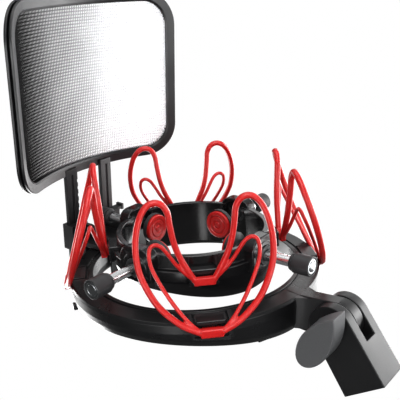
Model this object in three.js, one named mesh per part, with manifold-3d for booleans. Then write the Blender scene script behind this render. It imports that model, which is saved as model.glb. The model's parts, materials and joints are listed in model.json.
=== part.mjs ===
// Microphone shock mount: a cradle with four thumbscrews hangs on four elastomer lyres inside an outer
// ring, which tilts on a stand block and carries a pop filter. Millimetres, +Z up along the cradle's axis.
// The origin is the centre of the threaded end of the stand block.
import * as THREE from 'three';
import { mergeVertices } from 'three/addons/utils/BufferGeometryUtils.js';
import ManifoldModule from 'manifold-3d';

const wasm = await ManifoldModule();
wasm.setup();

// ---- Driving dimensions -------------------------------------------------------------------------
const GAP = 0.3; // clearance between pieces that touch
const QUARTER = Math.PI / 2;

// Stand block and tilt hinge
const STAND_LEAN = 33; // degrees between the stand's axis and the cradle's axis
const BLOCK_LENGTH = 37; // threaded end to hinge axis
const BLOCK_HALF_X = 11;
const BLOCK_HALF_BASE = 13;
const HINGE_R = 12.3; // round end of the cheeks
const HINGE_BOLT_R = 2.5;
const SLOT_HALF = 4.5;
const SLOT_FLOOR = 13.4; // below the hinge axis
const SOCKET_R = 9.2;
const SOCKET_DEPTH = 14;
const STAND_THREAD_R = 7.94; // 5/8 inch
const SMALL_THREAD_R = 4.76; // 3/8 inch
const NUT_ACROSS = 8;
const NUT_DEPTH = 4;
const BOLT_END = 17;
const LEVER_BACK = 12.6;
const LEVER_FACE = 25.5;
const LEVER_WIDE = 8.3; // half width of the lever's oval
const LEVER_ROUND = 15; // widest place to the round end
const LEVER_POINT = 22; // widest place to the pointed end
const LEVER_AT = [-2, -4.5]; // widest place from the hinge axis, in Y and Z
const LEVER_ANGLE = 59; // degrees, direction of the pointed end seen from +X

// Outer ring; heights are from the top of its inner lip
const RING_BORE = 62;
const LIP_OUT = 64.6;
const RING_OUT = 76.4;
const RING_DEPTH = 15;
const ARM_DEPTH = 22;
const ARM_HALF = 4;
const ARM_R = 12; // round end of the tongue
const HINGE_REACH = 98; // ring centre to hinge axis
const HINGE_DROP = 11; // lip to hinge axis

// Cradle
const CRADLE_BORE = 42.6;
const CRADLE_TOP = 23.5;
const CRADLE_BOTTOM = -4;
const CRADLE_RISE = 6.4; // of the lower edge, towards the first screw
const UPPER_OUT = 46;
const STEP_Z = 15.5;
const STEP_OUT = 49.4;
const LOWER_OUT = 46.4;
const HOUSING_HALF = 11.4;
const HOUSING_OUT = 51.4;
const HOUSING_TOP = 27.4;
const HOUSING_LOW = 7; // outer end, under the screw

// Thumbscrews and pads
const SCREW_Z = 16;
const STATIONS = [
  { name: 'a', row: 0, face: 30 },
  { name: 'b', row: 90, face: 27.5 },
  { name: 'c', row: 180, face: 24 },
  { name: 'd', row: 270, face: 28.5 },
]; // row angle in degrees and distance of the pad's face from the cradle's axis
const PAD_R = 8.7;
const PAD_DEPTH = 3.4;
const CUP_R = 9.4;
const CUP_BACK = 6.6; // pad face to back of cup
const POCKET_R = 9.9;
const POCKET_OUT = 45.6;
const SCREW_R = 3;
const KNOB_START = 43.7; // pad face to knob
const KNOB_LENGTH = 10.4;
const KNOB_R = 5.6;
const BUSH_START = 46.4;
const BUSH_R = 4.8;

// Lyres, in their own radial, tangential and height directions
const LYRE_ROWS = { front: 45, right: 135, back: 225, left: 315 };
const CLIP_HALF = 5.9;
const OUTER_CLIP = [77.6, -5.5];
const INNER_CLIP = [54, 12.3];
const BIG_STRAND = [1.85, 2.2]; // half thickness across and along the radius
const SMALL_STRAND = [1.25, 1.25];
const BIG_LOOP = [
  [77.6, 5.2, -5.5], [76.4, 13.6, -1.6], [74.7, 20.4, 3.6], [72.7, 26.2, 9.7], [70.4, 30.5, 17],
  [67.8, 33.8, 25.2], [65.6, 35, 32.4], [62.9, 34.9, 40.8], [60.3, 33.2, 48.8], [58.5, 30.6, 54.7],
  [57.3, 27.4, 58.2], [57, 23.9, 59.3], [56.9, 20.1, 57.8], [56.6, 17.7, 53.6], [56.2, 16.8, 46.4],
  [55.5, 15.4, 37], [55, 13.1, 28.8], [54.6, 9.8, 21.5], [54, 5.2, 12.6],
];
const SMALL_LOOP = [
  [77.6, 5.2, -5.5], [75.5, 10.8, -0.5], [72.9, 15.8, 5.5], [70, 20.4, 12.3], [66.6, 24.9, 20.3],
  [63.4, 28.1, 27.8], [61.2, 28.6, 32.9], [59.8, 27.7, 36.2], [59.2, 25.3, 37.5], [58.8, 22.1, 35.9],
  [58, 19.3, 31.9], [56.7, 15.8, 25.7], [55.4, 11.4, 19.4], [54, 5.2, 12.6],
];

// Pop filter; its own height runs along its lean
const FILTER_LEAN = 4; // degrees towards the cradle
const FILTER_Y = -94; // back of the panel's middle at the pivot height of the lean
const FILTER_PIVOT_Z = 50;
const BEND_R = 118; // radius of the panel's back
const FRAME_HALF = 74.3; // half width along the bend
const FRAME_LOW = 47;
const FRAME_HIGH = 160;
const FRAME_CORNER = 22.8;
const FRAME_BAND = 6.8;
const FRAME_LAYER = 1.7;
const MESH_LAYER = 0.6;
const POST_X = 15.3;
const POST_HALF = 4.8;
const POST_THICK = 2.8;
const POST_BACK = 3.8; // behind the post, from the panel's back
const POST_LOW = -16;
const POST_TOP = 51; // inside the notch in the front layer
const SLEEVE_HALF = 6.8;
const SLEEVE_TOP = 13.5;
const SLEEVE_LOW = -4;
const SLEEVE_WALL = 1.8;
const SLEEVE_DEEP = 7.6;
const LATCH_X = -28; // free end of the latch tab on one sleeve
const LATCH_THICK = 2.4;
const DETENTS = 6;
const DETENT_PITCH = 5;

// ---- Geometry helpers ---------------------------------------------------------------------------
const rad = THREE.MathUtils.degToRad;

/** Position-only copy of a closed geometry, with shared vertices merged and faces outward. */
function closed(geometry) {
  const bare = geometry.clone();
  bare.deleteAttribute('normal');
  bare.deleteAttribute('uv');
  const merged = mergeVertices(bare, 1e-4);
  const p = merged.attributes.position;
  const index = Array.from(merged.index.array);
  const corners = [new THREE.Vector3(), new THREE.Vector3(), new THREE.Vector3()];
  const kept = [];
  let volume = 0;
  for (let i = 0; i < index.length; i += 3) {
    const [a, b, c] = index.slice(i, i + 3);
    if (a === b || b === c || a === c) continue;
    [a, b, c].forEach((k, n) => corners[n].fromBufferAttribute(p, k));
    volume += corners[0].dot(corners[1].cross(corners[2]));
    kept.push(a, b, c);
  }
  if (volume < 0) kept.reverse();
  merged.setIndex(kept);
  return merged;
}

function solid(geometry) {
  const g = closed(geometry);
  const mesh = new wasm.Mesh({
    numProp: 3,
    vertProperties: new Float32Array(g.attributes.position.array),
    triVerts: new Uint32Array(g.index.array),
  });
  return new wasm.Manifold(mesh);
}

function surface(body) {
  const mesh = body.getMesh();
  const geometry = new THREE.BufferGeometry();
  geometry.setAttribute('position', new THREE.BufferAttribute(new Float32Array(mesh.vertProperties), 3));
  geometry.setIndex(new THREE.BufferAttribute(new Uint32Array(mesh.triVerts), 1));
  return geometry;
}

function join(...geometries) {
  return surface(geometries.map(solid).reduce((sum, part) => sum.add(part)));
}

function cut(geometry, ...tools) {
  return surface(tools.map(solid).reduce((rest, tool) => rest.subtract(tool), solid(geometry)));
}

function box(x0, x1, y0, y1, z0, z1) {
  const geometry = new THREE.BoxGeometry(x1 - x0, y1 - y0, z1 - z0);
  return geometry.translate((x0 + x1) / 2, (y0 + y1) / 2, (z0 + z1) / 2);
}

/** Solid of revolution about X from a closed profile of [x, radius] points. */
function turned(profile, sides = 16) {
  const points = profile.map(([x, r]) => new THREE.Vector2(r, x));
  points.push(points[0].clone());
  return new THREE.LatheGeometry(points, sides).rotateZ(-QUARTER);
}

function rod(x0, x1, radius, sides = 14) {
  return turned([[x0, 0], [x0, radius], [x1, radius], [x1, 0]], sides);
}

/** Outline in the Y-Z plane, extruded from x0 to x1. */
function plateX(shape, x0, x1, curveSegments = 12) {
  const geometry = new THREE.ExtrudeGeometry(shape, { depth: x1 - x0, bevelEnabled: false, curveSegments });
  return geometry.rotateX(QUARTER).rotateZ(QUARTER).translate(x0, 0, 0);
}

function hexagon(across) {
  const corners = [...Array(6).keys()].map((k) => rad(60 * k));
  const r = across / Math.sqrt(3);
  return new THREE.Shape(corners.map((a) => new THREE.Vector2(r * Math.cos(a), r * Math.sin(a))));
}

/** Closed skin over a row of equal rings of points; a loop of rings has no end caps. */
function loft(rings, loop = false) {
  const n = rings[0].length;
  const points = rings.flat();
  const faces = [];
  const spans = loop ? rings.length : rings.length - 1;
  for (let i = 0; i < spans; i += 1) {
    const here = i * n;
    const next = ((i + 1) % rings.length) * n;
    for (let j = 0; j < n; j += 1) {
      const k = (j + 1) % n;
      faces.push(here + j, next + j, here + k, here + k, next + j, next + k);
    }
  }
  if (!loop) {
    const last = (rings.length - 1) * n;
    for (let j = 1; j < n - 1; j += 1) {
      faces.push(0, j, j + 1, last, last + j + 1, last + j);
    }
  }
  const geometry = new THREE.BufferGeometry().setFromPoints(points);
  geometry.setIndex(faces);
  return geometry;
}

/** Ring about Z whose section, a list of [radius, z], may change with the row angle. */
function sweptRing(section, steps) {
  const rings = [...Array(steps).keys()].map((i) => {
    const a = (2 * Math.PI * i) / steps;
    return section(a).map(([r, z]) => new THREE.Vector3(r * Math.cos(a), r * Math.sin(a), z));
  });
  return loft(rings, true);
}

/** Tube with an oval section along a route of [radial, tangential, height] points. */
function strand(route, [across, along], sides, steps) {
  const curve = new THREE.CatmullRomCurve3(route.map((p) => new THREE.Vector3(...p)), false, 'centripetal');
  const radial = new THREE.Vector3(1, 0, 0);
  const rings = curve.getSpacedPoints(steps).map((centre, i) => {
    const tangent = curve.getTangentAt(i / steps);
    const side = new THREE.Vector3().crossVectors(tangent, radial).normalize();
    const out = new THREE.Vector3().crossVectors(side, tangent).normalize();
    return [...Array(sides).keys()].map((k) => {
      const a = (2 * Math.PI * (k + 0.5)) / sides;
      return centre.clone().addScaledVector(side, across * Math.cos(a)).addScaledVector(out, along * Math.sin(a));
    });
  });
  return loft(rings);
}

// ---- Stand block and hinge: local Z runs from the threaded end to the hinge -----------------------
function standBlock() {
  const outline = new THREE.Shape();
  outline.moveTo(-BLOCK_HALF_BASE, 0);
  outline.lineTo(BLOCK_HALF_BASE, 0);
  outline.lineTo(HINGE_R, BLOCK_LENGTH);
  outline.absarc(0, BLOCK_LENGTH, HINGE_R, 0, Math.PI, false);
  const body = plateX(outline, -BLOCK_HALF_X, BLOCK_HALF_X);
  const slot = box(-SLOT_HALF, SLOT_HALF, -20, 20, BLOCK_LENGTH - SLOT_FLOOR, BLOCK_LENGTH + 20);
  const bore = rod(-20, 20, HINGE_BOLT_R + GAP).translate(0, 0, BLOCK_LENGTH);
  const nutPocket = plateX(hexagon(NUT_ACROSS + 2 * GAP), -20, NUT_DEPTH - BLOCK_HALF_X)
    .translate(0, 0, BLOCK_LENGTH);
  const socket = rod(-1, SOCKET_DEPTH, SOCKET_R, 28).rotateY(-QUARTER);
  return cut(body, slot, bore, nutPocket, socket);
}

function threadInsert() {
  const out = SOCKET_R - GAP;
  const top = SOCKET_DEPTH - GAP;
  const low = GAP;
  return turned([[low, STAND_THREAD_R], [low, out], [top, out], [top, STAND_THREAD_R]], 28).rotateY(-QUARTER);
}

function threadAdapter() {
  const out = STAND_THREAD_R - GAP;
  const ring = turned([[0.6, SMALL_THREAD_R], [0.6, out], [11, out], [11, SMALL_THREAD_R]], 24).rotateY(-QUARTER);
  return cut(ring, box(-10, 10, -0.8, 0.8, -1, 2.2));
}

function hingeBolt() {
  const start = -BLOCK_HALF_X + GAP;
  return rod(start, BOLT_END, HINGE_BOLT_R);
}

function hingeNut() {
  const plate = plateX(hexagon(NUT_ACROSS), -BLOCK_HALF_X + 0.4, NUT_DEPTH - GAP - BLOCK_HALF_X);
  return cut(plate, rod(-20, 0, HINGE_BOLT_R + GAP));
}

function hingeWasher() {
  const x0 = BLOCK_HALF_X + GAP;
  return turned([[x0, HINGE_BOLT_R + GAP], [x0, 7.5], [x0 + 1, 7.5], [x0 + 1, HINGE_BOLT_R + GAP]], 20);
}

/** Thick oval, round at the free end and drawn to a corner above the hinge. */
function clampLever() {
  const outline = new THREE.Shape();
  outline.moveTo(LEVER_POINT, 0);
  outline.quadraticCurveTo(LEVER_POINT / 2, LEVER_WIDE, 0, LEVER_WIDE);
  outline.absellipse(0, 0, LEVER_ROUND, LEVER_WIDE, QUARTER, 3 * QUARTER, false, 0);
  outline.quadraticCurveTo(LEVER_POINT / 2, -LEVER_WIDE, LEVER_POINT, 0);
  const body = plateX(outline, LEVER_BACK, LEVER_FACE, 14).rotateX(rad(LEVER_ANGLE)).translate(0, ...LEVER_AT);
  return cut(body, rod(0, BOLT_END + 0.5, HINGE_BOLT_R + GAP));
}

// ---- Outer ring with its arm -----------------------------------------------------------------------
function ringDepth(a) {
  const towardsArm = Math.max(0, Math.sin(a));
  return RING_DEPTH + (ARM_DEPTH - RING_DEPTH) * towardsArm ** 4;
}

function ringSection(a) {
  const low = -ringDepth(a);
  return [
    [RING_BORE, 0], [LIP_OUT, 0], [75.2, -0.7], [RING_OUT - 0.2, -2], [RING_OUT, -6], [RING_OUT - 0.6, low + 5],
    [72.5, low], [64.5, low], [RING_BORE, low + 2],
  ];
}

function arm() {
  const outline = new THREE.Shape();
  outline.moveTo(RING_OUT - 6, -ARM_DEPTH + 1);
  outline.lineTo(HINGE_REACH - 6, -HINGE_DROP - ARM_R + 0.6);
  outline.absarc(HINGE_REACH, -HINGE_DROP, ARM_R, rad(-118), rad(90), false);
  outline.lineTo(RING_OUT - 6, -0.8);
  return plateX(outline, -ARM_HALF, ARM_HALF, 20);
}

/** Notch, tongue slot and grooves that leave a springy tab over a lyre's outer clip. */
function ringPocket(row) {
  const tools = [
    box(73.6, 90, -15, 15, -9.2, 5),
    box(70.6, 80, -CLIP_HALF + 0.6, CLIP_HALF - 0.6, -6.9, -4.1),
    box(65, 66.2, -9.6, 9.6, -2, 1),
    box(65, 75, 8.2, 9.6, -2, 1),
    box(65, 75, -9.6, -8.2, -2, 1),
  ];
  return tools.map((tool) => tool.rotateZ(rad(row)));
}

/** Small ribs under the outer edge of the ring. */
function ringRibs() {
  const side = box(73, RING_OUT + 0.9, -1.8, 1.8, -13, -9).rotateZ(rad(332));
  const low = -ringDepth(rad(70)) - 0.9;
  const under = box(68, 73.5, -5, 5, low, low + 4).rotateZ(rad(70));
  return [side, under];
}

function outerRing() {
  const ring = sweptRing(ringSection, 72);
  const bore = rod(-10, 10, HINGE_BOLT_R + GAP).translate(0, HINGE_REACH, -HINGE_DROP);
  const rows = Object.values(LYRE_ROWS);
  const tabs = rows.map((row) => box(70, 75.2, -8, 8, -2.6, -0.3).rotateZ(rad(row)));
  return cut(join(cut(join(ring, arm(), ...ringRibs()), ...rows.flatMap(ringPocket)), ...tabs), bore);
}

// ---- Lyres -----------------------------------------------------------------------------------------
function clipBar([radius, z], depth, height) {
  return box(radius - depth, radius + depth, -CLIP_HALF, CLIP_HALF, z - height, z + height);
}

function lyre(row) {
  const mirror = (route) => route.map(([r, t, z]) => [r, -t, z]);
  const pieces = [
    strand(BIG_LOOP, BIG_STRAND, 6, 20),
    strand(mirror(BIG_LOOP), BIG_STRAND, 6, 20),
    strand(SMALL_LOOP, SMALL_STRAND, 4, 16),
    strand(mirror(SMALL_LOOP), SMALL_STRAND, 4, 16),
    clipBar(OUTER_CLIP, 2, 2.4),
    clipBar(INNER_CLIP, 1.8, 2.3),
    box(71.2, 76, -CLIP_HALF + 1, CLIP_HALF - 1, -6.5, -4.5),
    box(49.6, 53, -CLIP_HALF + 1, CLIP_HALF - 1, 11.3, 13.3),
  ];
  return join(...pieces).rotateZ(rad(row));
}

// ---- Cradle ----------------------------------------------------------------------------------------
function cradleSection(a) {
  const low = CRADLE_BOTTOM + CRADLE_RISE * Math.max(0, Math.cos(a)) ** 2.5;
  return [
    [CRADLE_BORE, low], [CRADLE_BORE, CRADLE_TOP], [UPPER_OUT, CRADLE_TOP], [UPPER_OUT + 0.4, STEP_Z],
    [STEP_OUT, STEP_Z - 0.4], [STEP_OUT - 0.6, 8], [LOWER_OUT, low],
  ];
}

/** Pocket for a pad's cup, along X: a round top on straight sides that run out of the bottom. */
function pocket(x0, x1) {
  const outline = new THREE.Shape();
  outline.moveTo(-POCKET_R, CRADLE_BOTTOM - 4);
  outline.lineTo(POCKET_R, CRADLE_BOTTOM - 4);
  outline.lineTo(POCKET_R, SCREW_Z);
  outline.absarc(0, SCREW_Z, POCKET_R, 0, Math.PI, false);
  return plateX(outline, x0, x1, 10);
}

/** Screw housing along X: a block with round shoulders whose underside stops short of the cradle's edge. */
function housing(x0, x1) {
  const shoulder = 7;
  const foot = 4;
  const outline = new THREE.Shape();
  outline.moveTo(foot - HOUSING_HALF, HOUSING_LOW);
  outline.lineTo(HOUSING_HALF - foot, HOUSING_LOW);
  outline.absarc(HOUSING_HALF - foot, HOUSING_LOW + foot, foot, -QUARTER, 0, false);
  outline.absarc(HOUSING_HALF - shoulder, HOUSING_TOP - shoulder, shoulder, 0, QUARTER, false);
  outline.absarc(shoulder - HOUSING_HALF, HOUSING_TOP - shoulder, shoulder, QUARTER, 2 * QUARTER, false);
  outline.absarc(foot - HOUSING_HALF, HOUSING_LOW + foot, foot, 2 * QUARTER, 3 * QUARTER, false);
  return plateX(outline, x0, x1, 6);
}

function cradle() {
  const turn = (geometry, row) => geometry.rotateZ(rad(row));
  const ring = sweptRing(cradleSection, 64);
  const rows = STATIONS.map((station) => station.row);
  const clips = Object.values(LYRE_ROWS);
  const housings = rows.map((row) => turn(housing(43.5, HOUSING_OUT), row));
  const seats = clips.map((row) => turn(box(45, 51.4, -8, 8, 8, 17.6), row));
  const pockets = rows.map((row) => turn(pocket(30, POCKET_OUT), row));
  const bores = rows.map((row) => turn(rod(40, 60, BUSH_R + GAP).translate(0, 0, SCREW_Z), row));
  const slots = clips.map((row) => turn(box(49.3, 60, -5.3, 5.3, 11, 13.6), row));
  return cut(join(ring, ...housings, ...seats), ...pockets, ...bores, ...slots);
}

// ---- Thumbscrews: along X, pointing outwards from the cradle's axis ---------------------------------
function bush() {
  const hole = SCREW_R + GAP;
  const end = HOUSING_OUT + 1;
  const flange = HOUSING_OUT + GAP;
  const profile = [[BUSH_START, hole], [BUSH_START, BUSH_R], [flange, BUSH_R], [flange, BUSH_R + 0.9], [end, BUSH_R + 0.9],
    [end, hole]];
  return turned(profile).translate(0, 0, SCREW_Z);
}

function pad(face) {
  const back = face + PAD_DEPTH;
  return turned([[face, 0], [face, PAD_R - 0.8], [face + 0.8, PAD_R], [back, PAD_R], [back, 0]], 20)
    .translate(0, 0, SCREW_Z);
}

function padCup(face) {
  const floor = face + PAD_DEPTH + GAP;
  const mouth = face + 1.7;
  const profile = [
    [floor, 0], [floor, PAD_R + GAP], [mouth, PAD_R + GAP], [mouth, CUP_R], [floor + 1, CUP_R],
    [face + CUP_BACK, 5.5], [face + CUP_BACK, SCREW_R + GAP], [floor + 1, SCREW_R + GAP], [floor + 1, 0],
  ];
  return turned(profile).translate(0, 0, SCREW_Z);
}

function screwRod(face) {
  return rod(face + PAD_DEPTH + 1.8, face + KNOB_START + 9, SCREW_R, 18).translate(0, 0, SCREW_Z);
}

function knob(face) {
  const start = face + KNOB_START;
  const end = start + KNOB_LENGTH;
  const hole = SCREW_R + GAP;
  const profile = [
    [start, hole], [start, KNOB_R], [end - 0.8, KNOB_R], [end, KNOB_R - 0.8], [end, 0], [start + 9.4, 0],
    [start + 9.4, hole],
  ];
  return turned(profile).translate(0, 0, SCREW_Z);
}

function collar(face) {
  const end = face + KNOB_START - GAP;
  const hole = SCREW_R + GAP;
  return turned([[end - 2, hole], [end - 2, KNOB_R - 1.2], [end, KNOB_R - 0.4], [end, hole]])
    .translate(0, 0, SCREW_Z);
}

// ---- Pop filter ------------------------------------------------------------------------------------
/** Point of the bent panel: u along the bend, v up, depth from the back towards the cradle. */
function onPanel(u, v, depth) {
  const a = u / BEND_R;
  const r = BEND_R - depth;
  return new THREE.Vector3(r * Math.sin(a), BEND_R - r * Math.cos(a), v - FILTER_PIVOT_Z);
}

/** Rounded rectangle, inset from the frame's edge, as [u, v] points. */
function frameOutline(inset) {
  const r = FRAME_CORNER - inset;
  const u = FRAME_HALF - inset - r;
  const low = FRAME_LOW + inset + r;
  const high = FRAME_HIGH - inset - r;
  const corners = [[u, high, 0], [-u, high, 90], [-u, low, 180], [u, low, 270]];
  const points = [];
  corners.forEach(([cu, cv, start], k) => {
    for (let s = 0; s <= 6; s += 1) {
      const a = rad(start + 15 * s);
      points.push([cu + r * Math.cos(a), cv + r * Math.sin(a)]);
    }
    const [nu, nv, next] = corners[(k + 1) % 4];
    const from = points.at(-1);
    const to = [nu + r * Math.cos(rad(next)), nv + r * Math.sin(rad(next))];
    const pieces = k % 2 ? 4 : 8;
    for (let s = 1; s < pieces; s += 1) {
      points.push([0, 1].map((n) => from[n] + ((to[n] - from[n]) * s) / pieces));
    }
  });
  return points;
}

function frameLayer(back, front) {
  const outer = frameOutline(0);
  const inner = frameOutline(FRAME_BAND);
  const rings = outer.map(([u, v], i) => {
    const [iu, iv] = inner[i];
    return [onPanel(u, v, back), onPanel(u, v, front), onPanel(iu, iv, front), onPanel(iu, iv, back)];
  });
  return loft(rings, true);
}

function meshPanel(back, front) {
  const inset = FRAME_BAND - 2.4;
  const half = FRAME_HALF - inset;
  const r = FRAME_CORNER - inset;
  const columns = 28;
  const rings = [];
  for (let i = 0; i <= columns; i += 1) {
    const u = -half * Math.cos((Math.PI * i) / columns) * 0.999;
    const past = Math.max(0, Math.abs(u) - (half - r));
    const drop = r - Math.sqrt(r * r - past * past);
    const low = FRAME_LOW + inset + drop;
    const high = FRAME_HIGH - inset - drop;
    rings.push([onPanel(u, low, back), onPanel(u, high, back), onPanel(u, high, front), onPanel(u, low, front)]);
  }
  return loft(rings);
}

/** Front layer of the frame, notched at the back for the tops of the posts. */
function frontLayer(back, front) {
  const notches = [-1, 1].map((side) => box(side * POST_X - POST_HALF - GAP, side * POST_X + POST_HALF + GAP,
    POST_BACK - 9, POST_BACK + 9, 0 - FILTER_PIVOT_Z, POST_TOP + GAP - FILTER_PIVOT_Z));
  return cut(frameLayer(back, front), ...notches);
}

/** Guide strip; the one on +X has detents along its inner edge. */
function post(side) {
  const x = side * POST_X;
  const y0 = POST_BACK;
  const top = POST_TOP - FILTER_PIVOT_Z;
  const strip = box(x - POST_HALF, x + POST_HALF, y0, y0 + POST_THICK, POST_LOW - FILTER_PIVOT_Z, top);
  const groove = box(x - 0.9, x + 0.9, y0 + POST_THICK - 0.7, y0 + POST_THICK + 1, -80, top - 4);
  if (side < 0) return cut(strip, groove);
  const inner = x - POST_HALF;
  const detents = [...Array(DETENTS).keys()].map((k) => {
    const z = 16 + DETENT_PITCH * k - FILTER_PIVOT_Z;
    return box(inner - 0.5, inner + 0.5, y0 - 1, y0 + POST_THICK + 1, z, z + 2);
  });
  return cut(strip, ...detents, groove);
}

/** Bracket that clips over the outer ring and guides both posts. */
function popBracket() {
  const lean = rad(FILTER_LEAN);
  const place = (geometry) => geometry.rotateX(-lean).translate(0, FILTER_Y, FILTER_PIVOT_Z);
  const postY = POST_BACK + POST_THICK / 2;
  const sleeves = [-1, 1].map((side) => place(box(side * POST_X - SLEEVE_HALF, side * POST_X + SLEEVE_HALF,
    POST_BACK - SLEEVE_WALL, POST_BACK + SLEEVE_DEEP, SLEEVE_LOW - FILTER_PIVOT_Z, SLEEVE_TOP - FILTER_PIVOT_Z)));
  const channels = [-1, 1].map((side) => place(box(side * POST_X - POST_HALF - GAP, side * POST_X + POST_HALF + GAP,
    postY - POST_THICK / 2 - GAP, postY + POST_THICK / 2 + GAP, -120, 0)));
  const latchTop = SLEEVE_TOP - FILTER_PIVOT_Z;
  const latch = place(box(LATCH_X, -POST_X - 5.5, POST_BACK, POST_BACK + 5, latchTop - LATCH_THICK, latchTop - 0.3));
  const hook = place(box(LATCH_X - 0.5, LATCH_X + 1.4, POST_BACK - 0.4, POST_BACK + 5.4, latchTop - 3, latchTop + 1));
  const top = 3.4;
  const back = -90;
  const plate = box(-20, 20, back, -58.4, GAP, top);
  const heel = box(-20, 20, back, -RING_OUT - 0.5, SLEEVE_LOW - 8, top);
  const lip = box(-15, 15, -64, -58.4, -10, top);
  const leg = box(7.6, 15, -64, -58.4, -18, -9);
  const webs = [-1, 1].map((side) => {
    const outline = new THREE.Shape([[back, 0.5], [-62, 0.5], [-62, 4.5], [-80, 12], [back, 12]]
      .map(([y, z]) => new THREE.Vector2(y, z)));
    return plateX(outline, side * 10.5 - 1.5, side * 10.5 + 1.5);
  });
  const screwHole = rod(70, 110, 2.3).rotateZ(-QUARTER).translate(0, 0, -6);
  const inner = RING_BORE - GAP;
  const outer = RING_OUT + GAP;
  const ringSpace = turned([[-40, inner], [-40, outer], [GAP, outer], [GAP, inner]], 96).rotateY(-QUARTER);
  const slab = join(plate, heel, lip, leg, ...webs, ...sleeves, latch, hook);
  return cut(slab, ...channels, ringSpace, screwHole);
}

/** Screw that presses the bracket against the outer wall of the ring. */
function bracketScrew() {
  const profile = [[76.8, 0], [76.8, 2], [91, 2], [91, 4.6], [92, 5], [95.5, 5], [96, 4.4], [96, 0]];
  return turned(profile).rotateZ(-QUARTER).translate(0, 0, -6);
}

// ---- Assembly --------------------------------------------------------------------------------------
const FINISH = {
  blackPlastic: { color: 0x17181a, roughness: 0.38, metalness: 0 },
  glossPlastic: { color: 0x121314, roughness: 0.2, metalness: 0 },
  elastomer: { color: 0xd81a1a, roughness: 0.35, metalness: 0 },
  chrome: { color: 0xd8dadc, roughness: 0.12, metalness: 1 },
  brass: { color: 0xc9a24a, roughness: 0.3, metalness: 1 },
  mesh: { color: 0x9a9c9f, roughness: 0.4, metalness: 0.9 },
};

function piece(name, geometry, finish) {
  const mesh = new THREE.Mesh(closed(geometry), new THREE.MeshStandardMaterial(FINISH[finish]));
  mesh.name = name;
  return mesh;
}

const stand = new THREE.Group();
stand.rotation.x = rad(STAND_LEAN);
stand.add(
  piece('stand_block', standBlock(), 'blackPlastic'),
  piece('thread_insert', threadInsert(), 'brass'),
  piece('thread_adapter', threadAdapter(), 'brass'),
);
const hinge = new THREE.Group();
hinge.position.z = BLOCK_LENGTH;
hinge.add(
  piece('hinge_bolt', hingeBolt(), 'chrome'),
  piece('hinge_nut', hingeNut(), 'chrome'),
  piece('hinge_washer', hingeWasher(), 'chrome'),
);
const lever = piece('clamp_lever', clampLever(), 'blackPlastic');
lever.rotation.x = -rad(STAND_LEAN);
hinge.add(lever);
stand.add(hinge);

const suspended = new THREE.Group();
const hingeAt = new THREE.Vector3(0, 0, BLOCK_LENGTH).applyAxisAngle(new THREE.Vector3(1, 0, 0), rad(STAND_LEAN));
suspended.position.set(0, hingeAt.y - HINGE_REACH, hingeAt.z + HINGE_DROP);
suspended.add(piece('outer_ring', outerRing(), 'blackPlastic'));
for (const [place, row] of Object.entries(LYRE_ROWS)) {
  suspended.add(piece(`lyre_${place}`, lyre(row), 'elastomer'));
}
suspended.add(piece('cradle', cradle(), 'glossPlastic'));
for (const { name, row, face } of STATIONS) {
  const station = new THREE.Group();
  station.rotation.z = rad(row);
  station.add(
    piece(`bush_${name}`, bush(), 'blackPlastic'),
    piece(`pad_${name}`, pad(face), 'elastomer'),
    piece(`pad_cup_${name}`, padCup(face), 'blackPlastic'),
    piece(`screw_rod_${name}`, screwRod(face), 'chrome'),
    piece(`knob_${name}`, knob(face), 'blackPlastic'),
    piece(`knob_collar_${name}`, collar(face), 'blackPlastic'),
  );
  suspended.add(station);
}
suspended.add(piece('pop_bracket', popBracket(), 'blackPlastic'), piece('bracket_screw', bracketScrew(), 'chrome'));

const filter = new THREE.Group();
filter.rotation.x = -rad(FILTER_LEAN);
filter.position.set(0, FILTER_Y, FILTER_PIVOT_Z);
const meshBack = FRAME_LAYER + GAP;
const meshFront = meshBack + MESH_LAYER;
filter.add(
  piece('frame_rear', frameLayer(0, FRAME_LAYER), 'blackPlastic'),
  piece('frame_front', frontLayer(meshFront + GAP, meshFront + GAP + FRAME_LAYER), 'blackPlastic'),
  piece('pop_mesh', meshPanel(meshBack, meshFront), 'mesh'),
  piece('post_left', post(1), 'blackPlastic'),
  piece('post_right', post(-1), 'blackPlastic'),
);
suspended.add(filter);

const mount = new THREE.Group();
mount.add(stand, suspended);
export default mount;
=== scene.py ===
import json
import math

import bmesh
import bpy
import numpy as np
from mathutils import Matrix, Vector


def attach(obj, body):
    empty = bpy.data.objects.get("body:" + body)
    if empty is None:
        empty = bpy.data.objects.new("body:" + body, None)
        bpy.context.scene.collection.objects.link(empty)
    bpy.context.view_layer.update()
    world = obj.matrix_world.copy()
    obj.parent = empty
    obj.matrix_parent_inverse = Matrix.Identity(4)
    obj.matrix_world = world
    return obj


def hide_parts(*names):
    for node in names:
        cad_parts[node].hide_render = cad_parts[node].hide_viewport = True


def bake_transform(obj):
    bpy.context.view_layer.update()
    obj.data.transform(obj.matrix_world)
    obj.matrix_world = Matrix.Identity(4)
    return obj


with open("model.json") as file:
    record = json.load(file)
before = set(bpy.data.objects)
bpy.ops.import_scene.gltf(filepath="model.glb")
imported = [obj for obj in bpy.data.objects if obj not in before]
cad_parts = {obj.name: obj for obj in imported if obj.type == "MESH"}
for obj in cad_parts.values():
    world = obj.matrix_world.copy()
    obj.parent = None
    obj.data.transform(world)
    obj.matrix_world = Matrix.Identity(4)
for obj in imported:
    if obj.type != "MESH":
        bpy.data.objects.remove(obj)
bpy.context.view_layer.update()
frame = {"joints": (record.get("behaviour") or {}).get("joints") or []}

MM = 0.001
HINGE = Vector(next(j for j in frame["joints"] if j["name"] == "tilt")["pos_m"])
REACH, DROP = 98.0, 11.0
STAND_LEAN, FILTER_LEAN = 33.0, 4.0
BLOCK_LENGTH = 37.0
SCREW_Z = 16.0
STATIONS = {"a": (0, 30.0), "b": (90, 27.5), "c": (180, 24.0), "d": (270, 28.5)}
LYRES = {"front": 45, "right": 135, "back": 225, "left": 315}
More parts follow.
